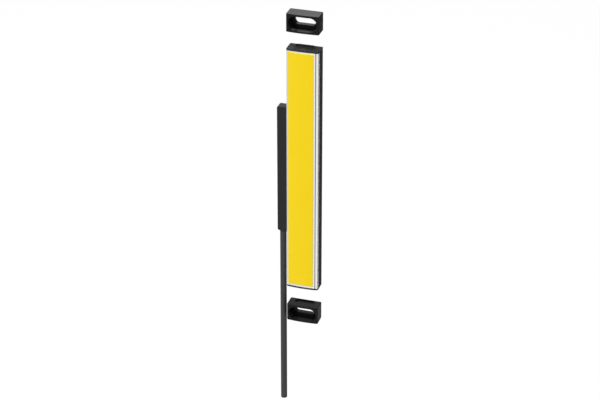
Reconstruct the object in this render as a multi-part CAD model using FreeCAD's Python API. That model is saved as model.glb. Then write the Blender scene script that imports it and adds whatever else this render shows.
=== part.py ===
import FreeCAD, Part
import math
import os

# Safety light curtain, one stick of a pair, upright, in millimetres.
# X runs along the wide face towards the light window, the front faces -Y and +Z is up.
# The origin is the middle of the housing's rear face, which lies on the machine it is screwed to.

os.makedirs("parts", exist_ok=True)
V = FreeCAD.Vector
nodes = {}
same_place = 1e-4

# Housing, from outer face to outer face of its end caps
housing_length = 260.0
housing_width = 32.5
housing_depth = 15.0
front_crown = 1.0
left_round = 1.2
window_round = 3.0
rear_round = 0.8

# Walls of the extruded section
front_wall = 1.0
rear_wall = 1.2
side_wall = 2.0
lip_depth = 1.3
lip_reach = 0.9
rear_flange = 0.8
rebate_depth = 1.35
shadow_groove_width = 0.8
shadow_groove_depth = 0.75
shadow_groove_inset = 2.9

# Yellow film on the front face, in its shallow bed
bed_left_margin = 2.1
bed_right_margin = 4.45
bed_depth = 0.25
film_thickness = 0.2
film_side_clearance = 0.05
film_end_margin = 1.6

# End caps, their gaskets and screws
cap_plate = 1.5
cap_edge_round = 0.3
gasket_thickness = 0.4
gasket_inset = 0.3
spigot_depth = 3.0
spigot_clearance = 0.15
tongue_length = 20.0
tongue_height = 0.9
tongue_rear_inset = 1.6
tongue_screw_margin = 0.6
tongue_wall = 0.6
tongue_core_depth = 3.0
screw_radius = 1.25
screw_hole_radius = 1.4
screw_head_radius = 2.3
screw_head_clearance = 0.05
screw_port_radius = 2.2
screw_port_front_inset = 2.7
screw_port_left_inset = 4.1
screw_port_board_space = 0.75
cap_screw_length = 9.0
drive_recess_width = 1.9
drive_recess_thickness = 0.6
drive_recess_depth = 0.7

# Light window
window_plate = 1.0
window_side_clearance = 0.05
window_face_set_back = 0.05
window_rib_clearance = 0.1
window_rib_end_space = 6.0

# Optics behind the window
beam_pitch = 12.0
beam_end_space = 4.5
carrier_clearance = 0.1
carrier_height_clearance = 0.3
optics_board_thickness = 1.2
board_end_clearance = 0.3
board_stop_width = 1.0
board_stop_height = 1.2
carrier_depth = 9.1
lens_seat_depth = 1.2
lens_strip_mouth_inset = 0.2
lens_strip_thickness = 1.1
lens_strip_clearance = 0.1
lens_edge = 0.8
lens_rise = 1.1
lens_hole_clearance = 0.3
diode_hole_radius = 2.2
diode_radius = 1.5
diode_body = 1.4
receiver_width = 2.8

# Status lamps at the lower end of the window
status_space = 5.5
status_lamp_count = 3
status_lamp_width = 1.4
status_lamp_height = 0.8
status_lamp_pitch = 2.4
status_guide_clearance = 0.2

# Control board, standing between the wide walls
control_board_thickness = 1.2
control_board_end_space = 28.0
rail_width = 0.8
rail_reach = 1.2
rail_clearance = 0.1
board_edge_clearance = 0.2
link_width = 3.0
link_stop_clearance = 0.3
link_length = 20.0
link_count = 3
link_spacing = 70.0
processor_size = 7.0
processor_height = 1.4
processor_spacing = 46.0
transistor_count = 2
transistor_width = 6.5
transistor_length = 8.0
transistor_height = 2.0
transistor_spacing = 16.0
capacitor_count = 3
capacitor_radius = 1.5
capacitor_length = 7.0
capacitor_spacing = 12.0

# Plug module on the narrow side away from the window
module_length = 136.2
module_drop = 1.8
module_width = 11.0
module_depth = 9.0
module_rear_inset = 0.5
module_wall = 1.2
module_outer_wall = 1.4
module_end_wall = 2.0
module_corner_round = 2.0
module_edge_round = 0.7
module_base_thickness = 1.6
module_screw_head_radius = 2.3
module_boss_radius = 2.6
module_upper_screw_inset = 10.0
module_lower_screw_inset = 34.5
module_screw_tip_clearance = 0.1

# Contacts between module and housing
contact_count = 8
contact_pitch = 2.5
contact_centre_height = 10.0
contact_end_margin = 2.2
contact_block_width = 3.2
contact_flange = 0.9
contact_flange_thickness = 0.4
contact_clearance = 0.1
contact_size = 0.7
pin_size = 0.6
socket_wall = 1.0
socket_base = 1.1
socket_face_set_back = 0.1
socket_reach = 0.2
socket_wall_clearance = 0.2
plug_seal_width = 1.0
plug_seal_depth = 0.8
plug_seal_margin = 0.6

# Wiring inside the module
plug_board_thickness = 1.0
plug_board_width = 5.2
plug_board_upper_margin = 4.0
wire_block_depth = 5.2
wire_block_length = 10.0
wire_block_clearance = 0.1
wire_core_radius = 0.5
wire_core_inset = 0.15
wire_core_boss_clearance = 0.05
wire_core_rows = 3
wire_core_row_pitch = 1.4
board_boss_clearance = 4.0

# Moulded cable bush and the cable, which hangs straight and is cut square
cable_radius = 3.25
cable_length = 199.0
bush_block_height = 8.0
bush_clearance = 0.1
bush_neck_wall = 0.35
bush_collar_wall = 0.5
bush_collar_end_wall = 0.2
bush_collar_length = 1.5

# End brackets, drawn off the two ends of the housing
bracket_height = 18.5
bracket_wall = 2.0
bracket_floor = 5.0
bracket_edge_round = 0.5
bracket_front_round = 1.2
slot_length = 21.0
slot_height = 7.8
pocket_clearance = 0.25
pocket_floor_clearance = 0.4
upper_bracket_gap = 17.0
lower_bracket_gap = 21.0

# Places that follow from the sizes
half_width = housing_width / 2
half_length = housing_length / 2
profile_top = half_length - cap_plate - gasket_thickness
profile_bottom = -profile_top
crown_radius = (half_width ** 2 + front_crown ** 2) / (2 * front_crown)
crown_centre = crown_radius - housing_depth
cavity_left = -half_width + side_wall
cavity_right = half_width - rebate_depth - lip_depth
cavity_front = -housing_depth + front_crown + front_wall
cavity_rear = -rear_wall
rebate_x = half_width - rebate_depth
rebate_front = -housing_depth + front_crown + window_round
rebate_rear = -rear_flange
mouth_front = rebate_front + lip_reach
mouth_rear = cavity_rear - lip_reach
inner_top = profile_top - spigot_depth - board_end_clearance
inner_bottom = -inner_top

carrier_outer = cavity_right - carrier_clearance
carrier_inner = carrier_outer - carrier_depth
optics_board_back = carrier_inner - optics_board_thickness
port_left = -half_width + screw_port_left_inset
port_right = optics_board_back - screw_port_board_space - screw_port_radius
port_y = -housing_depth + front_crown + screw_port_front_inset
ports = [(port_left, port_y), (port_right, port_y)]
tongue_rear = -tongue_rear_inset
tongue_front = port_y + screw_head_radius + tongue_screw_margin
tongue_y = (tongue_front + tongue_rear) / 2
carrier_front = cavity_front + carrier_height_clearance
carrier_rear = cavity_rear - carrier_height_clearance
beam_y = (mouth_front + mouth_rear) / 2
lens_strip_half = (mouth_rear - mouth_front) / 2 - lens_strip_mouth_inset
lens_radius = lens_strip_half - lens_edge
carrier_bottom = inner_bottom + status_space
beam_room = inner_top - carrier_bottom - 2 * beam_end_space
beam_count = int(beam_room // beam_pitch) + 1
beam_middle = (inner_top + carrier_bottom) / 2
beam_heights = [beam_middle + (i - (beam_count - 1) / 2) * beam_pitch for i in range(beam_count)]

module_face = -half_width
module_outer = module_face - module_width
module_rear = -module_rear_inset
module_front = module_rear - module_depth
module_y = (module_front + module_rear) / 2
module_top = module_length / 2 - module_drop
module_bottom = module_top - module_length
base_inner = module_face - module_base_thickness
upper_screw_z = module_top - module_upper_screw_inset
lower_screw_z = module_bottom + module_lower_screw_inset
cable_x = (module_outer + base_inner) / 2
cable_top = module_bottom - bush_collar_length
cable_end = cable_top - cable_length

board_rear = module_y + pin_size / 2
board_front = board_rear - control_board_thickness
board_left = cavity_left + board_edge_clearance
board_right = optics_board_back - board_edge_clearance
board_top = inner_top - control_board_end_space
board_bottom = -board_top

contact_half = contact_count * contact_pitch / 2 + contact_end_margin - contact_pitch / 2
socket_half = contact_half + contact_clearance + socket_wall
socket_half_width = contact_block_width / 2 + contact_clearance + socket_wall
socket_outer = module_face + socket_face_set_back
socket_floor = cavity_left + socket_reach
socket_back = socket_floor + socket_base
contact_meet = (socket_outer + socket_floor) / 2


def slab(x0, x1, y0, y1, z0, z1):
    """A square-edged block between two limits on each axis."""
    return Part.makeBox(x1 - x0, y1 - y0, z1 - z0, V(x0, y0, z0))


def rod(radius, start, end):
    """A round bar between two points."""
    run = end - start
    return Part.makeCylinder(radius, run.Length, start, run)


def taper(radius, end_radius, start, end):
    """A cone between two points."""
    run = end - start
    return Part.makeCone(radius, end_radius, run.Length, start, run)


def fused(solids):
    """Several solids joined into one."""
    whole = solids[0]
    for solid in solids[1:]:
        whole = whole.fuse(solid)
    return whole.removeSplitter()


def crown_y(x, inset=0.0):
    """The front face at x, or the surface a given depth behind it."""
    return crown_centre - math.sqrt((crown_radius - inset) ** 2 - x ** 2)


def on_upright(edge, x, y):
    """Whether an edge is the upright line at x, y."""
    ends = [vertex.Point for vertex in edge.Vertexes]
    return len(ends) == 2 and all(math.hypot(p.x - x, p.y - y) < same_place for p in ends)


def stick_section(z0, z1, front_left, front_right, inset=0.0):
    """The stick's outline, with its crowned front and rounded corners, as an upright prism."""
    left = -half_width + inset
    right = half_width - inset
    rear = -inset
    side_y = crown_y(right, inset)
    arc = Part.Arc(V(left, side_y, z0), V(0, crown_y(0, inset), z0), V(right, side_y, z0))
    edges = [
        arc.toShape(),
        Part.makeLine(V(right, side_y, z0), V(right, rear, z0)),
        Part.makeLine(V(right, rear, z0), V(left, rear, z0)),
        Part.makeLine(V(left, rear, z0), V(left, side_y, z0)),
    ]
    prism = Part.Face(Part.Wire(edges)).extrude(V(0, 0, z1 - z0))
    corners = [
        (left, side_y, front_left - inset),
        (right, side_y, front_right - inset),
        (left, rear, rear_round - inset),
        (right, rear, rear_round - inset),
    ]
    for x, y, radius in corners:
        prism = prism.makeFillet(radius, [edge for edge in prism.Edges if on_upright(edge, x, y)])
    return prism


def crowned_sheet(x0, x1, outer, inner, z0, z1):
    """A thin upright sheet that follows the crowned front between two depths behind it."""
    middle = (x0 + x1) / 2
    out = Part.Arc(
        V(x0, crown_y(x0, outer), z0), V(middle, crown_y(middle, outer), z0), V(x1, crown_y(x1, outer), z0)
    )
    back = Part.Arc(
        V(x1, crown_y(x1, inner), z0), V(middle, crown_y(middle, inner), z0), V(x0, crown_y(x0, inner), z0)
    )
    edges = [
        out.toShape(),
        Part.makeLine(V(x1, crown_y(x1, outer), z0), V(x1, crown_y(x1, inner), z0)),
        back.toShape(),
        Part.makeLine(V(x0, crown_y(x0, inner), z0), V(x0, crown_y(x0, outer), z0)),
    ]
    return Part.Face(Part.Wire(edges)).extrude(V(0, 0, z1 - z0))


def oblong(length, width, centre, across, depth):
    """A prism of oblong outline, long along X, standing out from centre along depth."""
    straight = (length - width) / 2
    radius = width / 2
    start = [centre + V(-straight, 0, 0) + across * radius, centre + V(straight, 0, 0) + across * radius]
    end = [centre + V(straight, 0, 0) - across * radius, centre + V(-straight, 0, 0) - across * radius]
    right = Part.Arc(start[1], centre + V(straight + radius, 0, 0), end[0])
    left = Part.Arc(end[1], centre + V(-straight - radius, 0, 0), start[0])
    edges = [
        Part.makeLine(start[0], start[1]),
        right.toShape(),
        Part.makeLine(end[0], end[1]),
        left.toShape(),
    ]
    return Part.Face(Part.Wire(edges)).extrude(depth)


def countersunk_screw(head, along, length, head_radius):
    """A countersunk screw with a crossed drive, its head flush at head and its shank along."""
    head_depth = head_radius - screw_radius
    shank = rod(screw_radius, head + along * head_depth, head + along * length)
    cone = taper(head_radius, screw_radius, head, head + along * head_depth)
    screw = shank.fuse(cone)
    side = V(0, 1, 0)
    other = along.cross(side)
    for a, b in ((side, other), (other, side)):
        corner = head - a * (drive_recess_width / 2) - b * (drive_recess_thickness / 2)
        outline = [
            corner,
            corner + a * drive_recess_width,
            corner + a * drive_recess_width + b * drive_recess_thickness,
            corner + b * drive_recess_thickness,
            corner,
        ]
        bar = Part.Face(Part.makePolygon(outline)).extrude(along * drive_recess_depth)
        screw = screw.cut(bar)
    return screw


def screw_seat(head, along, length, head_radius):
    """The clearance hole and countersink that a countersunk screw sits in."""
    depth = head_radius - screw_radius
    mouth = head_radius + screw_head_clearance
    cone = taper(mouth, screw_radius, head, head + along * (depth + screw_head_clearance))
    hole = rod(screw_hole_radius, head, head + along * length)
    return cone.fuse(hole)


def port_walls(z0, z1, grown=0.0):
    """The round walls of the screw ports that run along the inside of the front wall."""
    return [rod(screw_port_radius + grown, V(x, y, z0), V(x, y, z1)) for x, y in ports]


def board_rails(z0, z1, grown=0.0):
    """Two rails on the left wall that hold the control board's edge."""
    rails = []
    for side, edge in ((-1, board_front), (1, board_rear)):
        near = edge + side * (rail_clearance - grown)
        far = edge + side * (rail_clearance + rail_width + grown)
        rails.append(
            slab(cavity_left, cavity_left + rail_reach + grown, min(near, far), max(near, far), z0, z1)
        )
    return rails


def board_stops(z0, z1, grown=0.0):
    """A rib on each wide wall that the optics board rests against."""
    right = optics_board_back + grown
    left = optics_board_back - board_stop_width - grown
    return [
        slab(left, right, cavity_front, cavity_front + board_stop_height + grown, z0, z1),
        slab(left, right, cavity_rear - board_stop_height - grown, cavity_rear, z0, z1),
    ]


def extruded_housing():
    """The aluminium extrusion: crowned front, bed for the film, window rebate, ports and rails."""
    z0, z1 = profile_bottom, profile_top
    body = stick_section(z0, z1, left_round, window_round)
    hollow = slab(cavity_left, cavity_right, cavity_front, cavity_rear, z0, z1)
    for inside in port_walls(z0, z1) + board_rails(z0, z1) + board_stops(z0, z1):
        hollow = hollow.cut(inside)
    body = body.cut(hollow)
    body = body.cut(slab(cavity_right, half_width, mouth_front, mouth_rear, z0, z1))
    body = body.cut(slab(rebate_x, half_width, rebate_front, rebate_rear, z0, z1))
    bed_left = -half_width + bed_left_margin
    bed_right = half_width - bed_right_margin
    body = body.cut(crowned_sheet(bed_left, bed_right, -bed_depth, bed_depth, z0, z1))
    groove_left = half_width - shadow_groove_inset - shadow_groove_width / 2
    groove_right = groove_left + shadow_groove_width
    body = body.cut(crowned_sheet(groove_left, groove_right, -bed_depth, shadow_groove_depth, z0, z1))
    for x, y in ports:
        body = body.cut(rod(screw_radius, V(x, y, z0), V(x, y, z1)))
    opening = socket_half + socket_wall_clearance
    opening_width = socket_half_width + socket_wall_clearance
    body = body.cut(
        slab(
            -half_width,
            cavity_left + rail_reach,
            module_y - opening_width,
            module_y + opening_width,
            contact_centre_height - opening,
            contact_centre_height + opening,
        )
    )
    for z in (lower_screw_z, upper_screw_z):
        body = body.cut(rod(screw_radius, V(-half_width, module_y, z), V(cavity_left, module_y, z)))
    return body


def front_film():
    """The yellow film in the bed of the front face."""
    left = -half_width + bed_left_margin + film_side_clearance
    right = half_width - bed_right_margin - film_side_clearance
    z0 = profile_bottom + film_end_margin
    z1 = profile_top - film_end_margin
    return crowned_sheet(left, right, bed_depth - film_thickness, bed_depth, z0, z1)


def end_cap(up):
    """A moulded end cap: plate, spigot in the cavity and the cored tongue for an end bracket."""
    end = up * half_length
    plate_inner = up * (half_length - cap_plate)
    low, high = min(end, plate_inner), max(end, plate_inner)
    cap = stick_section(low, high, left_round, window_round)
    rim = [
        edge
        for edge in cap.Edges
        if all(abs(vertex.Point.z - end) < same_place for vertex in edge.Vertexes)
    ]
    cap = cap.makeFillet(cap_edge_round, rim)
    spigot_end = up * (profile_top - spigot_depth)
    low, high = min(plate_inner, spigot_end), max(plate_inner, spigot_end)
    gap = spigot_clearance
    spigot = slab(
        cavity_left + gap, cavity_right - gap, cavity_front + gap, cavity_rear - gap, low, high
    )
    for inside in port_walls(low, high, gap) + board_rails(low, high, gap) + board_stops(low, high, gap):
        spigot = spigot.cut(inside)
    tongue = oblong(
        tongue_length,
        tongue_rear - tongue_front,
        V(0, tongue_y, end),
        V(0, 1, 0),
        V(0, 0, up * tongue_height),
    )
    core = oblong(
        tongue_length - 2 * tongue_wall,
        tongue_rear - tongue_front - 2 * tongue_wall,
        V(0, tongue_y, end + up * tongue_height),
        V(0, 1, 0),
        V(0, 0, -up * tongue_core_depth),
    )
    cap = fused([cap, spigot, tongue]).cut(core)
    for x, y in ports:
        head = V(x, y, end)
        cap = cap.cut(screw_seat(head, V(0, 0, -up), cap_plate + gap, screw_head_radius))
    return cap


def end_gasket(up):
    """The flat gasket between an end cap and the end of the extrusion."""
    cap_side = up * (profile_top + gasket_thickness)
    low, high = min(cap_side, up * profile_top), max(cap_side, up * profile_top)
    gasket = stick_section(low, high, left_round, window_round, gasket_inset)
    hole = slab(cavity_left, cavity_right, cavity_front, cavity_rear, low, high)
    for inside in port_walls(low, high) + board_rails(low, high) + board_stops(low, high):
        hole = hole.cut(inside)
    gasket = gasket.cut(hole)
    for x, y in ports:
        gasket = gasket.cut(rod(screw_hole_radius, V(x, y, low), V(x, y, high)))
    return gasket


def cap_screws():
    """Two countersunk screws through each end cap into the ports of the extrusion."""
    screws = []
    for up in (1, -1):
        for x, y in ports:
            head = V(x, y, up * half_length)
            screws.append(countersunk_screw(head, V(0, 0, -up), cap_screw_length, screw_head_radius))
    return Part.makeCompound(screws)


def light_window():
    """The dark window: a plate in the rebate of the narrow side, with a rib in the mouth."""
    seal = rebate_depth - window_plate - window_face_set_back
    plate = slab(
        rebate_x + seal,
        half_width - window_face_set_back,
        rebate_front + window_side_clearance,
        rebate_rear - window_side_clearance,
        profile_bottom,
        profile_top,
    )
    rib = slab(
        cavity_right,
        rebate_x + seal,
        mouth_front + window_rib_clearance,
        mouth_rear - window_rib_clearance,
        profile_bottom + window_rib_end_space,
        profile_top - window_rib_end_space,
    )
    return fused([plate, rib])


def window_seal():
    """The flat seal under the window plate, round its rib."""
    seal = rebate_depth - window_plate - window_face_set_back
    frame = slab(
        rebate_x,
        rebate_x + seal,
        rebate_front + window_side_clearance,
        rebate_rear - window_side_clearance,
        profile_bottom,
        profile_top,
    )
    hole = slab(
        rebate_x,
        rebate_x + seal,
        mouth_front,
        mouth_rear,
        profile_bottom + window_rib_end_space - window_rib_clearance,
        profile_top - window_rib_end_space + window_rib_clearance,
    )
    return frame.cut(hole)


def lens_carrier():
    """The moulded bar that holds the lenses, with a tapered hole to each diode."""
    bar = slab(
        carrier_inner,
        carrier_outer,
        carrier_front,
        carrier_rear,
        carrier_bottom,
        inner_top,
    )
    seat_x = carrier_outer - lens_seat_depth
    seat_half = lens_strip_half + lens_strip_clearance
    bar = bar.cut(
        slab(seat_x, carrier_outer, beam_y - seat_half, beam_y + seat_half, carrier_bottom, inner_top)
    )
    mouth_radius = lens_radius + lens_hole_clearance
    for z in beam_heights:
        hole = taper(diode_hole_radius, mouth_radius, V(carrier_inner, beam_y, z), V(seat_x, beam_y, z))
        bar = bar.cut(hole)
    return bar


def lens_strip():
    """One clear strip with a plano-convex lens for each beam, its domes facing the diodes."""
    seat_x = carrier_outer - lens_seat_depth
    half = lens_strip_half
    strip = slab(
        seat_x, seat_x + lens_strip_thickness, beam_y - half, beam_y + half, carrier_bottom, inner_top
    )
    sphere_radius = (lens_radius ** 2 + lens_rise ** 2) / (2 * lens_rise)
    domes = []
    for z in beam_heights:
        ball = Part.makeSphere(sphere_radius, V(seat_x - lens_rise + sphere_radius, beam_y, z))
        outside = slab(
            seat_x - lens_rise, seat_x, beam_y - half, beam_y + half, z - half, z + half
        )
        domes.append(ball.common(outside))
    return fused([strip] + domes)


def optics_board():
    """The circuit board behind the carrier, on edge against the two ribs of the extrusion."""
    return slab(
        optics_board_back, carrier_inner, carrier_front, carrier_rear, inner_bottom, inner_top
    )


def emitter_diodes():
    """The emitters, with domed tops, at every other beam."""
    diodes = []
    for z in beam_heights[0::2]:
        foot = V(carrier_inner, beam_y, z)
        shoulder = foot + V(diode_body, 0, 0)
        body = rod(diode_radius, foot, shoulder)
        dome = Part.makeSphere(diode_radius, shoulder)
        diodes.append(fused([body, dome.cut(rod(2 * diode_radius, foot - V(diode_body, 0, 0), shoulder))]))
    return Part.makeCompound(diodes)


def receiver_diodes():
    """The flat receivers at the beams between the emitters."""
    half = receiver_width / 2
    return Part.makeCompound([
        slab(
            carrier_inner, carrier_inner + diode_body, beam_y - half, beam_y + half, z - half, z + half
        )
        for z in beam_heights[1::2]
    ])


def status_lamp_places():
    """The middles of the status lamps, side by side at the lower end of the optics board."""
    z = inner_bottom + status_space / 2
    return [
        V(carrier_inner, beam_y + (i - (status_lamp_count - 1) / 2) * status_lamp_pitch, z)
        for i in range(status_lamp_count)
    ]


def status_lamps():
    """Small square lamps that show the state of the device."""
    half = status_lamp_width / 2
    return Part.makeCompound([
        slab(p.x, p.x + status_lamp_height, p.y - half, p.y + half, p.z - half, p.z + half)
        for p in status_lamp_places()
    ])


def status_light_guide():
    """A clear block that stands on the optics board over the status lamps."""
    gap = status_guide_clearance
    low = inner_bottom + gap
    high = carrier_bottom - gap
    guide = slab(carrier_inner, carrier_outer, mouth_front + gap, mouth_rear - gap, low, high)
    room = status_lamp_width / 2 + gap
    for p in status_lamp_places():
        pocket = slab(
            p.x,
            p.x + status_lamp_height + gap,
            p.y - room,
            p.y + room,
            p.z - room,
            p.z + room,
        )
        guide = guide.cut(pocket)
    return guide


def control_board():
    """The control board in the rails of the left wall, notched round the socket."""
    board = slab(board_left, board_right, board_front, board_rear, board_bottom, board_top)
    notch = slab(
        board_left,
        socket_back,
        board_front,
        board_rear,
        contact_centre_height - socket_half,
        contact_centre_height + socket_half,
    )
    return board.cut(notch)


def board_links():
    """Header blocks that join the control board to the optics board."""
    links = []
    for i in range(link_count):
        z = (i - (link_count - 1) / 2) * link_spacing
        links.append(
            slab(
                optics_board_back - link_width,
                optics_board_back,
                board_rear,
                cavity_rear - board_stop_height - link_stop_clearance,
                z - link_length / 2,
                z + link_length / 2,
            )
        )
    return Part.makeCompound(links)


def on_board_front(x, z, width, length, height):
    """A block soldered to the front of the control board, its middle at x, z."""
    return slab(
        x - width / 2, x + width / 2, board_front - height, board_front, z - length / 2, z + length / 2
    )


def between_ports():
    """The middle of the room between the two screw ports, where the taller components stand."""
    return (port_left + port_right) / 2


def processors():
    """The two processors that watch each other."""
    x = between_ports()
    size = processor_size
    return Part.makeCompound([
        on_board_front(x, side * processor_spacing / 2, size, size, processor_height) for side in (-1, 1)
    ])


def output_transistors():
    """The two switching outputs."""
    x = between_ports()
    start = processor_spacing / 2 + processor_size / 2 + transistor_spacing / 2
    heights = [-start - i * transistor_spacing for i in range(transistor_count)]
    return Part.makeCompound([
        on_board_front(x, z, transistor_width, transistor_length, transistor_height) for z in heights
    ])


def capacitors():
    """The lying capacitors of the supply, at the upper end of the control board."""
    cans = []
    start = processor_spacing / 2 + processor_size / 2 + capacitor_spacing / 2
    y = board_front - capacitor_radius
    x = between_ports() - capacitor_length / 2
    for i in range(capacitor_count):
        z = start + i * capacitor_spacing
        can = rod(capacitor_radius, V(x, y, z), V(x + capacitor_length, y, z))
        foot = slab(
            x, x + capacitor_length, y, board_front, z - capacitor_radius / 2, z + capacitor_radius / 2
        )
        cans.append(fused([can, foot]))
    return Part.makeCompound(cans)


def contact_heights():
    """The heights of the contacts of the module."""
    lowest = contact_centre_height - (contact_count - 1) / 2 * contact_pitch
    return [lowest + i * contact_pitch for i in range(contact_count)]


def square_bar(x0, x1, z, size):
    """A square bar along X at a contact's height."""
    half = size / 2
    return slab(x0, x1, module_y - half, module_y + half, z - half, z + half)


def contact_socket():
    """The open box in the wall of the extrusion that the module's contacts plug into."""
    body = slab(
        socket_outer,
        socket_back,
        module_y - socket_half_width,
        module_y + socket_half_width,
        contact_centre_height - socket_half,
        contact_centre_height + socket_half,
    )
    inner = contact_half + contact_clearance
    inner_width = contact_block_width / 2 + contact_clearance
    body = body.cut(
        slab(
            socket_outer,
            socket_floor,
            module_y - inner_width,
            module_y + inner_width,
            contact_centre_height - inner,
            contact_centre_height + inner,
        )
    )
    for z in contact_heights():
        body = body.cut(square_bar(socket_floor, socket_back, z, pin_size))
    return body


def socket_pins():
    """The pins that stand in the socket and end at the control board's edge."""
    return Part.makeCompound([
        square_bar(contact_meet, socket_back, z, pin_size) for z in contact_heights()
    ])


def contact_block():
    """The module's contact block, which reaches through the base into the socket."""
    nose_end = socket_floor - contact_clearance
    flange_end = base_inner
    flange_start = base_inner - contact_flange_thickness
    half = contact_half
    half_width_y = contact_block_width / 2
    nose = slab(
        flange_end,
        nose_end,
        module_y - half_width_y,
        module_y + half_width_y,
        contact_centre_height - half,
        contact_centre_height + half,
    )
    flange = slab(
        flange_start,
        flange_end,
        module_y - half_width_y - contact_flange,
        module_y + half_width_y + contact_flange,
        contact_centre_height - half - contact_flange,
        contact_centre_height + half + contact_flange,
    )
    block = fused([nose, flange])
    for z in contact_heights():
        block = block.cut(square_bar(flange_start, nose_end, z, contact_size))
    return block


def plug_board_x():
    """The inner and outer faces of the module's small circuit board."""
    inner = base_inner - contact_flange_thickness
    return inner - plug_board_thickness, inner


def plug_contacts():
    """The module's contacts, soldered in its board and meeting the pins in the socket."""
    start, _ = plug_board_x()
    return Part.makeCompound([
        square_bar(start, contact_meet, z, contact_size) for z in contact_heights()
    ])


def plug_board():
    """The module's small circuit board, on the flange of the contact block."""
    outer, inner = plug_board_x()
    half = plug_board_width / 2
    board = slab(
        outer,
        inner,
        module_y - half,
        module_y + half,
        lower_screw_z + board_boss_clearance,
        contact_centre_height + contact_half + plug_board_upper_margin,
    )
    for z in contact_heights():
        board = board.cut(square_bar(outer, inner, z, contact_size))
    return board


def module_cavity():
    """The limits of the room inside the module's shell, in X and Y."""
    left = module_outer + module_outer_wall
    front = module_front + module_wall
    rear = module_rear - module_wall
    return left, base_inner, front, rear


def wire_block():
    """The block on the module's board that the cable's cores end in."""
    outer, _ = plug_board_x()
    _, _, front, rear = module_cavity()
    low = lower_screw_z + board_boss_clearance
    return slab(
        outer - wire_block_depth,
        outer,
        front + wire_block_clearance,
        rear - wire_block_clearance,
        low,
        low + wire_block_length,
    )


def core_rows():
    """Where the two rows of cable cores stand in Y, one near each wide wall of the module."""
    _, _, front, rear = module_cavity()
    inset = wire_core_radius + wire_core_inset
    return front + inset, rear - inset


def cable_cores():
    """The stripped cores that rise on both sides of the lower screw to the wire block."""
    outer, _ = plug_board_x()
    low = module_bottom + module_end_wall + bush_block_height
    high = lower_screw_z + board_boss_clearance
    middle = outer - wire_block_depth / 2
    cores = []
    for i in range(wire_core_rows):
        x = middle + (i - (wire_core_rows - 1) / 2) * wire_core_row_pitch
        for y in core_rows():
            cores.append(rod(wire_core_radius, V(x, y, low), V(x, y, high)))
    return Part.makeCompound(cores)


def module_screw_seats():
    """The holes and countersinks of the module's two screws."""
    reach = cavity_left - module_outer
    return [
        screw_seat(V(module_outer, module_y, z), V(1, 0, 0), reach, module_screw_head_radius)
        for z in (lower_screw_z, upper_screw_z)
    ]


def screw_boss(x0, x1, z):
    """A boss round one of the module's screws, flattened where the cable's cores pass it."""
    front, rear = core_rows()
    spare = wire_core_radius + wire_core_boss_clearance
    boss = rod(module_boss_radius, V(x0, module_y, z), V(x1, module_y, z))
    low, high = z - module_boss_radius, z + module_boss_radius
    return boss.common(slab(x0, x1, front + spare, rear - spare, low, high))


def cable_exit():
    """The hole in the module's lower end that the bush's neck fills."""
    low = module_bottom + module_end_wall
    radius = cable_radius + bush_neck_wall + bush_clearance
    return rod(radius, V(cable_x, module_y, module_bottom), V(cable_x, module_y, low))


def plug_shell():
    """The module's moulded shell, open towards the housing, with two screw bosses."""
    shell = slab(module_outer, base_inner, module_front, module_rear, module_bottom, module_top)
    corners = [
        edge
        for edge in shell.Edges
        if all(abs(vertex.Point.x - module_outer) < same_place for vertex in edge.Vertexes)
        and abs(edge.Vertexes[0].Point.z - edge.Vertexes[1].Point.z) < same_place
    ]
    shell = shell.makeFillet(module_corner_round, corners)
    for y in (module_front, module_rear):
        rim = [
            edge
            for edge in shell.Edges
            if all(abs(vertex.Point.y - y) < same_place for vertex in edge.Vertexes)
            and any(abs(vertex.Point.x - base_inner) > same_place for vertex in edge.Vertexes)
        ]
        shell = shell.makeFillet(module_edge_round, rim)
    left, right, front, rear = module_cavity()
    low = module_bottom + module_end_wall
    high = module_top - module_end_wall
    room = slab(left, right, front, rear, low, high)
    for z in (lower_screw_z, upper_screw_z):
        room = room.cut(screw_boss(left, right, z))
    shell = shell.cut(room)
    shell = shell.cut(cable_exit())
    for seat in module_screw_seats():
        shell = shell.cut(seat)
    return shell


def plug_base():
    """The plate that closes the module against the housing, grooved for its seal."""
    base = slab(base_inner, module_face, module_front, module_rear, module_bottom, module_top)
    hole = contact_half + contact_clearance
    hole_width = contact_block_width / 2 + contact_clearance
    base = base.cut(
        slab(
            base_inner,
            module_face,
            module_y - hole_width,
            module_y + hole_width,
            contact_centre_height - hole,
            contact_centre_height + hole,
        )
    )
    for seat in module_screw_seats():
        base = base.cut(seat)
    return base.cut(plug_seal()).cut(cable_exit())


def plug_seal():
    """The ring seal round the socket, in its groove in the module's base."""
    inner = socket_half + socket_wall_clearance + plug_seal_margin
    inner_width = (module_depth - 2 * plug_seal_margin) / 2 - plug_seal_width
    outer = inner + plug_seal_width
    outer_width = inner_width + plug_seal_width
    x0 = module_face - plug_seal_depth
    ring = slab(
        x0,
        module_face,
        module_y - outer_width,
        module_y + outer_width,
        contact_centre_height - outer,
        contact_centre_height + outer,
    )
    return ring.cut(
        slab(
            x0,
            module_face,
            module_y - inner_width,
            module_y + inner_width,
            contact_centre_height - inner,
            contact_centre_height + inner,
        )
    )


def plug_screws():
    """The two screws that pull the module on to the wall of the extrusion."""
    length = cavity_left - module_screw_tip_clearance - module_outer
    return Part.makeCompound([
        countersunk_screw(V(module_outer, module_y, z), V(1, 0, 0), length, module_screw_head_radius)
        for z in (lower_screw_z, upper_screw_z)
    ])


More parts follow.
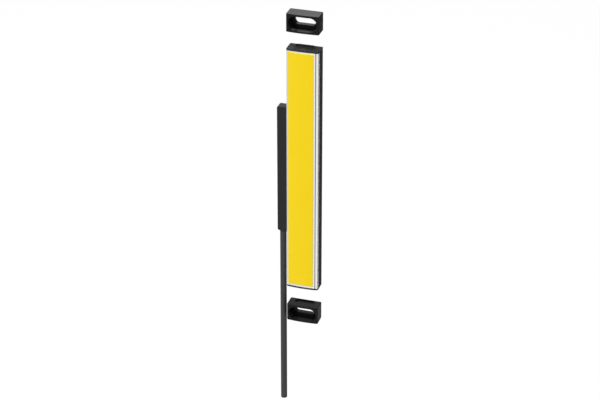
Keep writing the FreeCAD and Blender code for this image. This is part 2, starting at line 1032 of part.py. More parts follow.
def cable_bush():
    """The bush moulded on the cable's end: block in the module, neck and short collar."""
    left, right, front, rear = module_cavity()
    low = module_bottom + module_end_wall
    block = slab(
        left + bush_clearance,
        right - bush_clearance,
        front + bush_clearance,
        rear - bush_clearance,
        low,
        low + bush_block_height,
    )
    neck_radius = cable_radius + bush_neck_wall
    neck = rod(neck_radius, V(cable_x, module_y, module_bottom), V(cable_x, module_y, low))
    collar = taper(
        cable_radius + bush_collar_wall,
        cable_radius + bush_collar_end_wall,
        V(cable_x, module_y, module_bottom),
        V(cable_x, module_y, cable_top),
    )
    return fused([block, neck, collar])


def cable():
    """The round cable, straight down from the bush to its cut end."""
    return rod(cable_radius, V(cable_x, module_y, cable_top), V(cable_x, module_y, cable_end))


def end_bracket(up, gap):
    """An end bracket: oblong recess and slot from the front, pocket for the cap's tongue."""
    mating = up * (half_length + gap)
    outer = mating + up * bracket_height
    low, high = min(mating, outer), max(mating, outer)
    body = stick_section(low, high, bracket_front_round, bracket_front_round)
    for z in (low, high):
        rim = [
            edge
            for edge in body.Edges
            if all(abs(vertex.Point.z - z) < same_place for vertex in edge.Vertexes)
        ]
        body = body.makeFillet(bracket_edge_round, rim)
    middle = (low + high) / 2
    recess = oblong(
        housing_width - 2 * bracket_wall,
        bracket_height - 2 * bracket_wall,
        V(0, -bracket_floor, middle),
        V(0, 0, 1),
        V(0, -housing_depth, 0),
    )
    slot = oblong(slot_length, slot_height, V(0, 0, middle), V(0, 0, 1), V(0, -housing_depth, 0))
    pocket = oblong(
        tongue_length + 2 * pocket_clearance,
        tongue_rear - tongue_front + 2 * pocket_clearance,
        V(0, tongue_y, mating),
        V(0, 1, 0),
        V(0, 0, up * (tongue_height + pocket_floor_clearance)),
    )
    return body.cut(recess).cut(slot).cut(pocket)


nodes["housing_profile"] = extruded_housing()
nodes["front_film"] = front_film()
nodes["light_window"] = light_window()
nodes["window_seal"] = window_seal()
nodes["upper_end_cap"] = end_cap(1)
nodes["lower_end_cap"] = end_cap(-1)
nodes["upper_cap_gasket"] = end_gasket(1)
nodes["lower_cap_gasket"] = end_gasket(-1)
nodes["end_cap_screws"] = cap_screws()
nodes["lens_carrier"] = lens_carrier()
nodes["lens_strip"] = lens_strip()
nodes["optics_board"] = optics_board()
nodes["emitter_diodes"] = emitter_diodes()
nodes["receiver_diodes"] = receiver_diodes()
nodes["status_lamps"] = status_lamps()
nodes["status_light_guide"] = status_light_guide()
nodes["control_board"] = control_board()
nodes["board_links"] = board_links()
nodes["processors"] = processors()
nodes["output_transistors"] = output_transistors()
nodes["capacitors"] = capacitors()
nodes["contact_socket"] = contact_socket()
nodes["socket_pins"] = socket_pins()
nodes["contact_block"] = contact_block()
nodes["plug_contacts"] = plug_contacts()
nodes["plug_board"] = plug_board()
nodes["wire_block"] = wire_block()
nodes["cable_cores"] = cable_cores()
nodes["plug_shell"] = plug_shell()
nodes["plug_base"] = plug_base()
nodes["plug_seal"] = plug_seal()
nodes["plug_screws"] = plug_screws()
nodes["cable_bush"] = cable_bush()
nodes["cable"] = cable()
nodes["upper_bracket"] = end_bracket(1, upper_bracket_gap)
nodes["lower_bracket"] = end_bracket(-1, lower_bracket_gap)

for name, shape in nodes.items():
    shape.exportStep("parts/" + name + ".step")
    print(name, "solids", len(shape.Solids), "valid", shape.isValid(), "volume", round(shape.Volume, 1))
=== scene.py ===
import math
import bmesh
import bpy
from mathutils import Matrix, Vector


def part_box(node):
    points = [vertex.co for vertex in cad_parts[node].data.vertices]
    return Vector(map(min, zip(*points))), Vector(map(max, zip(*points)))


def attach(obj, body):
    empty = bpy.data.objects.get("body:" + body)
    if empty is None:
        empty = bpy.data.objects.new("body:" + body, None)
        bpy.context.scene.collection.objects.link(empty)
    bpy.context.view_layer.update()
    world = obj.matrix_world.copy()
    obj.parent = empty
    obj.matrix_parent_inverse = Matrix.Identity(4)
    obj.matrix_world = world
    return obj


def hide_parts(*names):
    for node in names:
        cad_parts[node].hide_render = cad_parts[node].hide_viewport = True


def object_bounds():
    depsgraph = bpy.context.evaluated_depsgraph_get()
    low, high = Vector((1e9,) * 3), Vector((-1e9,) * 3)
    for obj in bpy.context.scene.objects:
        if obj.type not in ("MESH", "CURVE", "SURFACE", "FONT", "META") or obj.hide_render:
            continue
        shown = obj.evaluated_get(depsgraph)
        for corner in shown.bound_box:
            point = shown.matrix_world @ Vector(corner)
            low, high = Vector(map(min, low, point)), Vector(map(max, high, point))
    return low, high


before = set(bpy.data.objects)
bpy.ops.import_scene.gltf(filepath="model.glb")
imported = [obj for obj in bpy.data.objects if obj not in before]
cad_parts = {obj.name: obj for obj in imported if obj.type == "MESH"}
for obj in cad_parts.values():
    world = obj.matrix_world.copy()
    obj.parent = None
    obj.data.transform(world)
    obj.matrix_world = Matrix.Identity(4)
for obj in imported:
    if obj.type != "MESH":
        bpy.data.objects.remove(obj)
cad_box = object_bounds()
scene = bpy.context.scene
scene.view_settings.view_transform = "Standard"

# Camera
# It stands in front of the stick, a little to the right and well above its middle, and looks down
# on it through a long lens, so that the upright edges stay nearly parallel.
picture_width = 600
focal_pixels = 1884.0
sensor_width = 36.0
camera_place = (0.4844, -1.5709, 0.8384)
camera_turn = math.radians(17.36)
camera_dip = math.radians(28.13)

camera_data = bpy.data.cameras.new("camera")
camera_data.sensor_width = sensor_width
camera_data.lens = sensor_width * focal_pixels / picture_width
camera = bpy.data.objects.new("camera", camera_data)
camera.location = camera_place
camera.rotation_euler = (math.pi / 2 - camera_dip, 0.0, camera_turn)
scene.collection.objects.link(camera)
scene.camera = camera

# Floor and studio air
# A plain white floor lies well below the hanging cable, so that only a faint shadow reaches it.
# Floor and air are seen white, by eye and in the gloss of the part, whatever light they give.
floor_drop = 0.18
floor_reach = 12.0
floor_white = 0.9
floor_shadow_share = 0.2
floor_glow = 1.07
air_light = 0.62
air_glow = 1.0
air_white = (1.0, 1.0, 1.0)


def feed(tree, value, socket):
    """A number or a colour set on a socket, or another socket linked to it."""
    if isinstance(value, tuple):
        socket.default_value = (*value, 1.0)
    elif isinstance(value, float):
        socket.default_value = value
    else:
        tree.links.new(value, socket)


def reckon(tree, operation, first, second):
    """A sum over sockets and plain numbers."""
    node = tree.nodes.new("ShaderNodeMath")
    node.operation = operation
    feed(tree, first, node.inputs[0])
    feed(tree, second, node.inputs[1])
    return node.outputs["Value"]


def sees_backdrop(tree):
    """A factor of one on what the eye, a reflection or a clear piece sees."""
    rays = tree.nodes.new("ShaderNodeLightPath").outputs
    direct = reckon(tree, "MAXIMUM", rays["Is Camera Ray"], rays["Is Glossy Ray"])
    return reckon(tree, "MAXIMUM", direct, rays["Is Transmission Ray"])


def emptied(owner, output_kind):
    """The emptied shader nodes of a world or a material, and the socket of their output."""
    owner.use_nodes = True
    tree = owner.node_tree
    tree.nodes.clear()
    return tree, tree.nodes.new(output_kind).inputs["Surface"]


def mixed(tree, factor, first, second):
    """A shader between two others."""
    node = tree.nodes.new("ShaderNodeMixShader")
    tree.links.new(factor, node.inputs["Fac"])
    tree.links.new(first, node.inputs[1])
    tree.links.new(second, node.inputs[2])
    return node.outputs["Shader"]


def air_shader(tree, strength):
    """White light from all round, of the given strength."""
    node = tree.nodes.new("ShaderNodeBackground")
    feed(tree, air_white, node.inputs["Color"])
    feed(tree, strength, node.inputs["Strength"])
    return node.outputs["Background"]


world = bpy.data.worlds.new("studio_air")
scene.world = world
air, air_surface = emptied(world, "ShaderNodeOutputWorld")
air_given = air_shader(air, air_light)
air_shown = air_shader(air, air_glow)
air.links.new(mixed(air, sees_backdrop(air), air_given, air_shown), air_surface)

floor_material = bpy.data.materials.new("white_floor")
floor_tree, floor_surface = emptied(floor_material, "ShaderNodeOutputMaterial")
floor_lit = floor_tree.nodes.new("ShaderNodeBsdfDiffuse")
feed(floor_tree, (floor_white, floor_white, floor_white), floor_lit.inputs["Color"])
floor_shown = floor_tree.nodes.new("ShaderNodeEmission")
feed(floor_tree, floor_glow, floor_shown.inputs["Strength"])
floor_share = reckon(floor_tree, "MULTIPLY", sees_backdrop(floor_tree), 1.0 - floor_shadow_share)
floor_top = mixed(floor_tree, floor_share, floor_lit.outputs["BSDF"], floor_shown.outputs["Emission"])
floor_underside = floor_tree.nodes.new("ShaderNodeBsdfTransparent").outputs["BSDF"]
from_below = floor_tree.nodes.new("ShaderNodeNewGeometry").outputs["Backfacing"]
floor_tree.links.new(mixed(floor_tree, from_below, floor_top, floor_underside), floor_surface)

floor_shape = bmesh.new()
bmesh.ops.create_grid(floor_shape, x_segments=1, y_segments=1, size=floor_reach)
floor_height = cad_box[0].z - floor_drop
bmesh.ops.translate(floor_shape, verts=floor_shape.verts, vec=(0.0, 0.0, floor_height))
floor_mesh = bpy.data.meshes.new("floor")
floor_shape.to_mesh(floor_mesh)
floor_shape.free()
floor_mesh.materials.append(floor_material)
floor = bpy.data.objects.new("floor", floor_mesh)
scene.collection.objects.link(floor)

# Soft lights and cards
# A wide soft light stands in front to the left and above, and a second one hangs over the stick.
# Two dark cards at the right, a white one behind and a grey one at the left show only in the
# gloss of the part.
stick_middle = Vector((0.0, -0.0075, 0.0))
dark_cards_x = 0.12
dark_cards_low = -0.95
dark_cards_high = 0.35


def soft_light(name, place, width, height, power):
    """A rectangular soft light that faces the middle of the stick."""
    data = bpy.data.lights.new(name, "AREA")
    data.shape = "RECTANGLE"
    data.size = width
    data.size_y = height
    data.energy = power
    light = bpy.data.objects.new(name, data)
    light.location = place
    facing = stick_middle - Vector(place)
    light.rotation_euler = facing.to_track_quat("-Z", "Y").to_euler()
    scene.collection.objects.link(light)


def gloss_card(name, start, end, low, high, brightness):
    """An upright card between two points of the ground plan, which only reflections see."""
    shape = bmesh.new()
    corners = [(*start, low), (*end, low), (*end, high), (*start, high)]
    shape.faces.new([shape.verts.new(corner) for corner in corners])
    mesh = bpy.data.meshes.new(name)
    shape.to_mesh(mesh)
    shape.free()
    material = bpy.data.materials.new(name)
    tree, surface = emptied(material, "ShaderNodeOutputMaterial")
    glow = tree.nodes.new("ShaderNodeEmission")
    feed(tree, brightness, glow.inputs["Strength"])
    tree.links.new(glow.outputs["Emission"], surface)
    mesh.materials.append(material)
    card = bpy.data.objects.new(name, mesh)
    card.visible_camera = False
    card.visible_diffuse = False
    card.visible_shadow = False
    card.visible_transmission = False
    scene.collection.objects.link(card)


def dark_card(name, near, far, brightness):
    """A dark card at the right of the stick, between a near and a far depth."""
    start = (dark_cards_x, near)
    end = (dark_cards_x, far)
    gloss_card(name, start, end, dark_cards_low, dark_cards_high, brightness)


soft_light("front_light", place=(-0.9, -1.6, 0.9), width=1.2, height=1.2, power=14.0)
soft_light("top_light", place=(-0.2, 0.1, 1.5), width=1.4, height=1.0, power=9.0)
dark_card("near_dark_card", near=-0.01, far=0.103, brightness=0.07)
dark_card("far_dark_card", near=0.148, far=1.6, brightness=0.09)
gloss_card(
    "white_card", start=(-0.25, 0.15), end=(0.03, 0.15), low=0.235, high=0.40, brightness=4.1
)
gloss_card(
    "grey_card", start=(-0.235, -0.45), end=(-0.49, -0.09), low=-0.44, high=0.06, brightness=0.62
)

# Cable
# A round jacket with six cores, extruded in soft black plastic. It leaves the lower end of the
# plug module, hangs straight down and is cut off square. The last bit of it is the cut end.
cable_radius = 0.00325
cable_x = -0.02255
cable_y = -0.005
cable_foot = -0.2704
cut_depth = 0.0004
cable_route = [
    (cable_x, cable_y, -0.0714),
    (cable_x, cable_y, -0.1100),
    (cable_x, cable_y, -0.1500),
    (cable_x, cable_y, -0.1900),
    (cable_x, cable_y, -0.2320),
    (cable_x, cable_y, cable_foot + cut_depth),
]
jacket_dark = (0.035, 0.035, 0.0375)
jacket_light = (0.045, 0.045, 0.0485)
broad_lines_share = 0.2


def new_material(name):
    """A material with its Principled shader, and the place on the piece as coordinates."""
    material = bpy.data.materials.new(name)
    material.use_nodes = True
    tree = material.node_tree
    surface = tree.nodes["Principled BSDF"]
    place = tree.nodes.new("ShaderNodeTexCoord").outputs["Object"]
    return material, tree, surface, place


def effect_group(name, inputs, outputs):
    """An empty node group with number inputs and outputs, and Place as its first input."""
    group = bpy.data.node_groups.new(name, "ShaderNodeTree")
    group.interface.new_socket("Place", in_out="INPUT", socket_type="NodeSocketVector")
    for label, value in inputs.items():
        socket = group.interface.new_socket(label, in_out="INPUT", socket_type="NodeSocketFloat")
        socket.default_value = value
    for label in outputs:
        group.interface.new_socket(label, in_out="OUTPUT", socket_type="NodeSocketFloat")
    start = group.nodes.new("NodeGroupInput")
    end = group.nodes.new("NodeGroupOutput")
    return group, start, end


def use_group(tree, group, place, values):
    """A group placed in a material, with its own values."""
    node = tree.nodes.new("ShaderNodeGroup")
    node.node_tree = group
    tree.links.new(place, node.inputs["Place"])
    for label, value in values.items():
        feed(tree, value, node.inputs[label])
    return node


def noise_in(tree, place, scale, detail, roughness=0.5):
    """A noise texture over the given coordinates, at a scale that may come from a socket."""
    noise = tree.nodes.new("ShaderNodeTexNoise")
    tree.links.new(place, noise.inputs["Vector"])
    feed(tree, scale, noise.inputs["Scale"])
    feed(tree, detail, noise.inputs["Detail"])
    feed(tree, roughness, noise.inputs["Roughness"])
    return noise.outputs["Fac"]


def blend_colours(tree, factor, first, second):
    """A colour between two others, each of them fixed or taken from a socket."""
    node = tree.nodes.new("ShaderNodeMix")
    node.data_type = "RGBA"
    tree.links.new(factor, node.inputs["Factor"])
    feed(tree, first, node.inputs["A"])
    feed(tree, second, node.inputs["B"])
    return node.outputs["Result"]


def coloured(tree, surface, factor, first, second):
    """The surface's colour, between two others by a factor that changes over it."""
    tree.links.new(blend_colours(tree, factor, first, second), surface.inputs["Base Color"])


def glossed(tree, surface, factor, low, high):
    """The surface's roughness, between two limits by a factor that changes over it."""
    node = tree.nodes.new("ShaderNodeMapRange")
    tree.links.new(factor, node.inputs["Value"])
    feed(tree, low, node.inputs["To Min"])
    feed(tree, high, node.inputs["To Max"])
    tree.links.new(node.outputs["Result"], surface.inputs["Roughness"])


def raised(tree, surface, height, distance):
    """A fine relief on the surface."""
    bump = tree.nodes.new("ShaderNodeBump")
    feed(tree, height, bump.inputs["Height"])
    feed(tree, distance, bump.inputs["Distance"])
    feed(tree, 1.0, bump.inputs["Strength"])
    tree.links.new(bump.outputs["Normal"], surface.inputs["Normal"])


def make_drawn_lines():
    """Fine lines along Z, as a die leaves them on what is drawn or extruded through it."""
    group, start, end = effect_group(
        "drawn_lines", {"Lines per metre": 900.0, "Stretch": 0.006}, ["Height", "Tone"]
    )
    flatten = group.nodes.new("ShaderNodeCombineXYZ")
    feed(group, 1.0, flatten.inputs["X"])
    feed(group, 1.0, flatten.inputs["Y"])
    feed(group, start.outputs["Stretch"], flatten.inputs["Z"])
    drawn = group.nodes.new("ShaderNodeVectorMath")
    drawn.operation = "MULTIPLY"
    group.links.new(start.outputs["Place"], drawn.inputs[0])
    group.links.new(flatten.outputs["Vector"], drawn.inputs[1])
    along = drawn.outputs["Vector"]
    lines = start.outputs["Lines per metre"]
    broad_lines = reckon(group, "MULTIPLY", lines, broad_lines_share)
    group.links.new(noise_in(group, along, lines, detail=3.0, roughness=0.6), end.inputs["Height"])
    group.links.new(noise_in(group, along, broad_lines, detail=2.0), end.inputs["Tone"])
    return group


drawn_lines = make_drawn_lines()


def extruded_material(name, dark, light, gleam, roughness):
    """Extruded plastic: faint lines of the extruder and a slow bloom."""
    material, tree, surface, place = new_material(name)
    lines = use_group(tree, drawn_lines, place, {"Lines per metre": 1400.0, "Stretch": 0.02})
    coloured(tree, surface, noise_in(tree, place, scale=160.0, detail=4.0), dark, light)
    glossed(tree, surface, lines.outputs["Tone"], *roughness)
    surface.inputs["Specular IOR Level"].default_value = gleam
    raised(tree, surface, lines.outputs["Height"], distance=0.00002)
    return material


cable_jacket = extruded_material(
    "cable_jacket", jacket_dark, jacket_light, gleam=0.3, roughness=(0.5, 0.66)
)
cable_curve = bpy.data.curves.new("cable_line", "CURVE")
cable_curve.dimensions = "3D"
cable_curve.bevel_depth = cable_radius
cable_curve.bevel_resolution = 14
cable_curve.resolution_u = 8
cable_curve.use_fill_caps = True
cable_spline = cable_curve.splines.new("NURBS")
cable_spline.points.add(len(cable_route) - 1)
for point, place in zip(cable_spline.points, cable_route):
    point.co = (*place, 1.0)
cable_spline.order_u = 3
cable_spline.use_endpoint_u = True
cable_curve.materials.append(cable_jacket)
cable_line = bpy.data.objects.new("cable_line", cable_curve)
scene.collection.objects.link(cable_line)
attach(cable_line, "root")
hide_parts("cable")

# Cut end of the cable
# The cutter leaves a square face: the jacket's thick ring, its filler a little deeper, and six
# insulated cores round the middle, each with its seven copper strands.
cut_top = cable_foot + cut_depth
jacket_wall = 0.0009
jacket_round = 0.00008
filler_depth = 0.00022
core_circle = 0.00148
core_radius = 0.00062
core_wall = 0.00024
core_round = 0.00004
core_depth = 0.00031
core_count = 6
copper_depth = 0.00008
strand_radius = 0.00011
strand_point = 0.00002
strand_depth = 0.00012
strand_circle = 0.000228
strand_count = 6
weld_distance = 0.0000005
cut_black = (0.035, 0.035, 0.037)
cut_black_dusty = (0.075, 0.075, 0.078)
cut_grey = (0.42, 0.41, 0.39)
cut_grey_dusty = (0.6, 0.59, 0.56)
copper_red = (0.72, 0.30, 0.15)
copper_bright = (0.86, 0.45, 0.26)


def turned(shape, centre, profile, steps):
    """A round form spun about the upright line through centre, from its radii and heights."""
    x, y = centre
    verts = [shape.verts.new((x + radius, y, z)) for radius, z in profile]
    edges = [shape.edges.new(pair) for pair in zip(verts, verts[1:])]
    bmesh.ops.spin(
        shape, geom=verts + edges, cent=(x, y, 0.0), axis=(0.0, 0.0, 1.0),
        angle=2 * math.pi, steps=steps, use_merge=True,
    )


def finished_piece(name, shape, material, smooth):
    """A piece made from a bmesh, with closed poles and its faces outwards."""
    bmesh.ops.remove_doubles(shape, verts=shape.verts, dist=weld_distance)
    bmesh.ops.recalc_face_normals(shape, faces=shape.faces)
    mesh = bpy.data.meshes.new(name)
    shape.to_mesh(mesh)
    shape.free()
    for face in mesh.polygons:
        face.use_smooth = smooth
    mesh.materials.append(material)
    piece = bpy.data.objects.new(name, mesh)
    scene.collection.objects.link(piece)
    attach(piece, "root")
    return piece


def round_places(centre, circle, count):
    """The middles of like things that stand evenly on a circle."""
    places = []
    for i in range(count):
        angle = 2 * math.pi * i / count
        places.append((centre[0] + circle * math.cos(angle), centre[1] + circle * math.sin(angle)))
    return places


def cut_face_material(name, colour, dusty):
    """The dull face that a cutter leaves, with its fine scores."""
    material, tree, surface, place = new_material(name)
    scores = noise_in(tree, place, scale=5200.0, detail=3.0)
    coloured(tree, surface, scores, colour, dusty)
    glossed(tree, surface, scores, low=0.55, high=0.8)
    surface.inputs["Specular IOR Level"].default_value = 0.3
    raised(tree, surface, scores, distance=0.00003)
    return material


bore = cable_radius - jacket_wall
ring_profile = [
    (0.0, cut_top),
    (cable_radius, cut_top),
    (cable_radius, cable_foot + jacket_round),
    (cable_radius - jacket_round, cable_foot),
    (bore + jacket_round, cable_foot),
    (bore, cable_foot + jacket_round),
    (bore, cable_foot + filler_depth),
    (0.0, cable_foot + filler_depth),
]
ring_shape = bmesh.new()
turned(ring_shape, (cable_x, cable_y), ring_profile, steps=64)
cut_jacket = cut_face_material("cut_jacket", cut_black, cut_black_dusty)
cut_ring = finished_piece("cable_cut_face", ring_shape, cut_jacket, smooth=False)

core_profile = [
    (0.0, cable_foot + core_depth),
    (core_radius, cable_foot + core_depth),
    (core_radius, cable_foot + core_round),
    (core_radius - core_round, cable_foot),
    (core_radius - core_wall, cable_foot),
    (core_radius - core_wall, cable_foot + copper_depth),
    (0.0, cable_foot + copper_depth),
]
core_places = round_places((cable_x, cable_y), core_circle, core_count)
core_shape = bmesh.new()
for centre in core_places:
    turned(core_shape, centre, core_profile, steps=24)
cut_insulation = cut_face_material("cut_insulation", cut_grey, cut_grey_dusty)
cut_cores = finished_piece("cable_cut_cores", core_shape, cut_insulation, smooth=False)

strand_profile = [
    (0.0, cable_foot + strand_depth),
    (strand_radius, cable_foot + strand_depth),
    (strand_radius, cable_foot + strand_point),
    (0.0, cable_foot),
]
strand_shape = bmesh.new()
for place in core_places:
    for centre in [place] + round_places(place, strand_circle, strand_count):
        turned(strand_shape, centre, strand_profile, steps=8)
cut_copper = cut_face_material("cut_copper", copper_red, copper_bright)
cut_strands = finished_piece("cable_cut_strands", strand_shape, cut_copper, smooth=True)

# Housing profile
# One aluminium extrusion, drawn through a die, etched and clear anodised to a fine satin. Its
# front is slightly crowned, and its edges show as a pale line round the yellow film. Inside the
# narrow shadow groove beside the film, shade is painted into the colour as a dark grey.
groove_inset = 0.0029
groove_reach = 0.00045
groove_mouth = 0.00073
groove_floor = 0.0016
# Painted shade: the dark grey that the inside of the groove is coloured.
groove_painted_shade = (0.10, 0.10, 0.115)
metal_dark = (0.77, 0.77, 0.765)
metal_light = (0.91, 0.91, 0.90)
housing_low, housing_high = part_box("housing_profile")
groove_middle = housing_high.x - groove_inset


def dress(material, *names):
    """A material given to pieces whose form is already right."""
    for name in names:
        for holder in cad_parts[name].material_slots:
            holder.material = material


def split_place(tree, place):
    """The three coordinates of a place, each on its own socket."""
    node = tree.nodes.new("ShaderNodeSeparateXYZ")
    tree.links.new(place, node.inputs["Vector"])
    return node.outputs


def within(tree, value, low, high):
    """A factor of one where a value lies between two limits, and zero elsewhere."""
    above = reckon(tree, "GREATER_THAN", value, low)
    return reckon(tree, "MULTIPLY", above, reckon(tree, "LESS_THAN", value, high))


def aluminium_material():
    """Satin anodised aluminium with the faint lines of the die, and painted shade inside the groove.
    """
    material, tree, surface, place = new_material("satin_aluminium")
    lines = use_group(tree, drawn_lines, place, {"Lines per metre": 2600.0, "Stretch": 0.002})
    parts = split_place(tree, place)
    # Painted shade: a mask over the inside of the groove, where the colour turns dark grey.
    across = within(tree, parts["X"], groove_middle - groove_reach, groove_middle + groove_reach)
    sunk = within(tree, parts["Y"], housing_low.y + groove_mouth, housing_low.y + groove_floor)
    groove_shade_mask = reckon(tree, "MULTIPLY", across, sunk)
    metal = blend_colours(tree, lines.outputs["Tone"], metal_dark, metal_light)
    coloured(tree, surface, groove_shade_mask, metal, groove_painted_shade)
    glossed(tree, surface, noise_in(tree, place, scale=6000.0, detail=2.0), low=0.28, high=0.38)
    surface.inputs["Metallic"].default_value = 1.0
    raised(tree, surface, lines.outputs["Height"], distance=0.00001)
    return material


dress(aluminium_material(), "housing_profile")

# Front film
# A thin yellow film, printed on its back and stuck into a shallow bed of the profile's front. Its
# face is semi-gloss, with the faint unevenness of the glue under it.
film_deep = (0.925, 0.655, 0.002)
film_bright = (0.94, 0.685, 0.006)


def film_material():
    """Yellow film: even colour, semi-gloss, and very slightly wavy."""
    material, tree, surface, place = new_material("yellow_film")
    coloured(tree, surface, noise_in(tree, place, scale=35.0, detail=3.0), film_deep, film_bright)
    glue = noise_in(tree, place, scale=260.0, detail=2.0)
    glossed(tree, surface, glue, low=0.34, high=0.42)
    surface.inputs["Specular IOR Level"].default_value = 0.15
    raised(tree, surface, glue, distance=0.00006)
    return material


dress(film_material(), "front_film")

# End caps and lens carrier
# The caps that close the profile's ends are moulded in black plastic with the dull grain of an
# eroded mould. The hidden bar that holds the lenses is moulded in the same plastic.
cap_black = (0.035, 0.036, 0.035)
paler_pits = 1.25


def make_moulded_grain():
    """The grain that an eroded mould gives: fine pits, and slow changes of gloss."""
    group, start, end = effect_group(
        "moulded_grain", {"Pits per metre": 2600.0}, ["Height", "Gloss"]
    )
    place = start.outputs["Place"]
    pits = noise_in(group, place, start.outputs["Pits per metre"], detail=2.5, roughness=0.65)
    group.links.new(pits, end.inputs["Height"])
    group.links.new(noise_in(group, place, scale=45.0, detail=3.0), end.inputs["Gloss"])
    return group


moulded_grain = make_moulded_grain()


def moulded_material(name, colour, gleam, roughness, depth):
    """Moulded plastic: nearly even colour, with grain in its relief and its gloss."""
    material, tree, surface, place = new_material(name)
    grain = use_group(tree, moulded_grain, place, {"Pits per metre": 2600.0})
    pale = tuple(paler_pits * part for part in colour)
    coloured(tree, surface, grain.outputs["Height"], colour, pale)
    glossed(tree, surface, grain.outputs["Gloss"], *roughness)
    surface.inputs["Specular IOR Level"].default_value = gleam
    raised(tree, surface, grain.outputs["Height"], depth)
    return material


cap_plastic = moulded_material(
    "cap_plastic", cap_black, gleam=0.1, roughness=(0.7, 0.85), depth=0.00003
)
dress(cap_plastic, "upper_end_cap", "lower_end_cap", "lens_carrier")

# End brackets
# Two like brackets, each moulded in one piece of black plastic: an oblong recess for the screw
# head with a slot in its floor. Their faces are a little smoother than the caps.
bracket_black = (0.006, 0.006, 0.0072)
bracket_plastic = moulded_material(
    "bracket_plastic", bracket_black, gleam=0.11, roughness=(0.28, 0.38), depth=0.000012
)
dress(bracket_plastic, "upper_bracket", "lower_bracket")

# Seals and bush
# Flat gaskets under the caps and the window, a ring seal under the plug module and the bush
# moulded on the cable, all in soft black rubber with a dull bloom.
rubber_black = (0.016, 0.016, 0.016)
rubber_bloom = (0.034, 0.034, 0.034)


def rubber_material():
    """Dull black rubber with a pale bloom in places."""
    material, tree, surface, place = new_material("soft_rubber")
    bloom = noise_in(tree, place, scale=420.0, detail=4.0)
    coloured(tree, surface, bloom, rubber_black, rubber_bloom)
    glossed(tree, surface, bloom, low=0.8, high=0.95)
    surface.inputs["Specular IOR Level"].default_value = 0.2
    raised(tree, surface, bloom, distance=0.00002)
    return material


soft_rubber = rubber_material()
dress(soft_rubber, "window_seal", "upper_cap_gasket", "lower_cap_gasket", "plug_seal", "cable_bush")

# Screws
# Small countersunk machine screws with a crossed drive, in steel that was blackened in a bath.
# Four of them hold the end caps, and two hold the plug module.
steel_black = (0.012, 0.012, 0.013)
steel_thin = (0.026, 0.026, 0.028)


def black_steel_material():
    """Blackened steel: a thin dark skin on bright metal."""
    material, tree, surface, place = new_material("black_steel")
    skin = noise_in(tree, place, scale=1500.0, detail=4.0)
    coloured(tree, surface, skin, steel_black, steel_thin)
    glossed(tree, surface, skin, low=0.6, high=0.75)
    surface.inputs["Metallic"].default_value = 0.3
    raised(tree, surface, skin, distance=0.00001)
    return material


dress(black_steel_material(), "end_cap_screws", "plug_screws")

# Light window
# A plate of polished dark acrylic that only infrared passes. Painted light stands in for the row
# of lenses behind it: faint paler rounds painted on the plate, one for each beam, at the pitch of the
# diodes.
beam_pitch = 0.012
beam_count = 20
beam_round_radius = 0.0030
beam_round_edge = 0.0003
diode_radius = 0.0015
acrylic_dark = (0.010, 0.006, 0.008)
# Painted light: the paler colour painted where a lens stands behind the window.
acrylic_painted_lens_light = (0.030, 0.012, 0.016)
diode_low, diode_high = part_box("emitter_diodes")
first_beam = diode_low.z + diode_radius
beam_line = (diode_low.y + diode_high.y) / 2


def painted_lens_rounds(tree, place):
    """A factor of one where a lens stands behind the window, and zero between the lenses: the mask of
    the painted lens light.
    """
    parts = split_place(tree, place)
    steps = reckon(tree, "DIVIDE", reckon(tree, "SUBTRACT", parts["Z"], first_beam), beam_pitch)
    whole = reckon(tree, "ROUND", steps, 0.0)
    nearest = reckon(tree, "MINIMUM", reckon(tree, "MAXIMUM", whole, 0.0), beam_count - 1.0)
    up = reckon(tree, "MULTIPLY", reckon(tree, "SUBTRACT", steps, nearest), beam_pitch)
    across = reckon(tree, "SUBTRACT", parts["Y"], beam_line)
    up_square = reckon(tree, "MULTIPLY", up, up)
    across_square = reckon(tree, "MULTIPLY", across, across)
    away = reckon(tree, "SQRT", reckon(tree, "ADD", up_square, across_square), 0.0)
    inside = tree.nodes.new("ShaderNodeMapRange")
    inside.interpolation_type = "SMOOTHSTEP"
    feed(tree, away, inside.inputs["Value"])
    feed(tree, beam_round_radius, inside.inputs["From Min"])
    feed(tree, beam_round_radius - beam_round_edge, inside.inputs["From Max"])
    return inside.outputs["Result"]


def window_material():
    """Polished dark acrylic with paler rounds painted on it as the light of the lenses behind."""
    material, tree, surface, place = new_material("dark_window")
    coloured(tree, surface, painted_lens_rounds(tree, place), acrylic_dark, acrylic_painted_lens_light)
    glossed(tree, surface, noise_in(tree, place, scale=60.0, detail=3.0), low=0.05, high=0.12)
    return material


dress(window_material(), "light_window")

# Clear pieces
# The strip of lenses, the light guide over the status lamps and the emitters' domes, moulded in
# clear plastic.
clear_cool = (0.86, 0.89, 0.91)
clear_pale = (0.92, 0.94, 0.95)


def clear_material():
    """Clear moulded plastic with a very slight haze."""
    material, tree, surface, place = new_material("clear_plastic")
    haze = noise_in(tree, place, scale=300.0, detail=3.0)
    coloured(tree, surface, haze, clear_cool, clear_pale)
    glossed(tree, surface, haze, low=0.03, high=0.1)
    surface.inputs["Transmission Weight"].default_value = 0.9
    surface.inputs["IOR"].default_value = 1.49
    return material


dress(clear_material(), "lens_strip", "status_light_guide", "emitter_diodes")

# Circuit boards
# Glass laminate under green solder mask, milled to its outline, with the copper tracks as slightly
# paler lines. Two of the boards stand in the housing, and the third lies in the plug module.
mask_green = (0.006, 0.075, 0.028)
track_green = (0.02, 0.16, 0.06)
bare_mask = (0.0, 0.0, 0.0)
mask_on_copper = (0.12, 0.12, 0.12)
whole_track = (1.0, 1.0, 1.0)


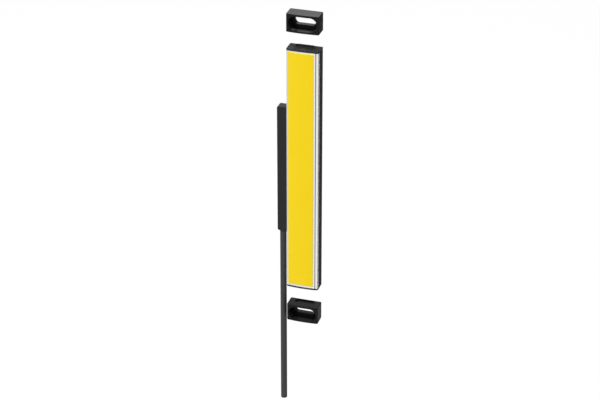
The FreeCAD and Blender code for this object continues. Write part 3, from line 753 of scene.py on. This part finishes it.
def board_material():
    """Green solder mask over copper tracks."""
    material, tree, surface, place = new_material("circuit_board")
    upright = tree.nodes.new("ShaderNodeMapping")
    upright.inputs["Rotation"].default_value = (math.pi / 2, 0.0, 0.0)
    tree.links.new(place, upright.inputs["Vector"])
    tracks = tree.nodes.new("ShaderNodeTexBrick")
    tree.links.new(upright.outputs["Vector"], tracks.inputs["Vector"])
    feed(tree, bare_mask, tracks.inputs["Color1"])
    feed(tree, mask_on_copper, tracks.inputs["Color2"])
    feed(tree, whole_track, tracks.inputs["Mortar"])
    feed(tree, 130.0, tracks.inputs["Scale"])
    feed(tree, 0.03, tracks.inputs["Mortar Size"])
    coloured(tree, surface, tracks.outputs["Color"], mask_green, track_green)
    glossed(tree, surface, noise_in(tree, place, scale=700.0, detail=2.0), low=0.25, high=0.4)
    raised(tree, surface, tracks.outputs["Fac"], distance=0.00002)
    return material


dress(board_material(), "optics_board", "control_board", "plug_board")

# Components on the boards
# Moulded chips, headers and connector bodies in black, a white terminal block, sleeved
# capacitors and small lamps with milky lids.
chip_black = (0.018, 0.018, 0.018)
block_white = (0.60, 0.59, 0.56)
sleeve_blue = (0.02, 0.03, 0.10)
lid_milky = (0.66, 0.65, 0.58)

component_black = moulded_material(
    "component_black", chip_black, gleam=0.35, roughness=(0.4, 0.6), depth=0.00001
)
dress(component_black, "processors", "output_transistors", "receiver_diodes", "board_links")
dress(component_black, "contact_socket", "contact_block")
component_white = moulded_material(
    "component_white", block_white, gleam=0.4, roughness=(0.35, 0.5), depth=0.00001
)
dress(component_white, "wire_block")
capacitor_sleeve = moulded_material(
    "capacitor_sleeve", sleeve_blue, gleam=0.5, roughness=(0.2, 0.3), depth=0.000004
)
dress(capacitor_sleeve, "capacitors")
lamp_plastic = moulded_material(
    "lamp_plastic", lid_milky, gleam=0.5, roughness=(0.2, 0.35), depth=0.000004
)
dress(lamp_plastic, "status_lamps")

# Contacts
# Square pins of gold-plated brass, pressed into the plastic of the socket in the housing's wall
# and into that of the module's block.
brass_deep = (0.78, 0.56, 0.22)
brass_bright = (0.90, 0.70, 0.34)


def contact_material():
    """Plated brass with the fine marks of drawing and of plugging."""
    material, tree, surface, place = new_material("contact_brass")
    marks = noise_in(tree, place, scale=3200.0, detail=3.0)
    coloured(tree, surface, marks, brass_deep, brass_bright)
    glossed(tree, surface, marks, low=0.18, high=0.34)
    surface.inputs["Metallic"].default_value = 1.0
    raised(tree, surface, marks, distance=0.000004)
    return material


dress(contact_material(), "socket_pins", "plug_contacts")

# Cable cores in the module
# The cores without their jacket, in pale extruded insulation. They run inside the module, from
# the bush to the terminal block on its board.
core_grey = (0.50, 0.49, 0.46)
core_pale = (0.62, 0.61, 0.58)
core_insulation = extruded_material(
    "core_insulation", core_grey, core_pale, gleam=0.5, roughness=(0.3, 0.42)
)
dress(core_insulation, "cable_cores")

# Plug module
# A slim shell and its base plate, moulded in black plastic, plugged to the left side of the
# profile and held by two screws.
module_black = (0.0118, 0.0118, 0.0128)
module_plastic = moulded_material(
    "module_plastic", module_black, gleam=0.22, roughness=(0.4, 0.52), depth=0.000015
)
dress(module_plastic, "plug_shell", "plug_base")
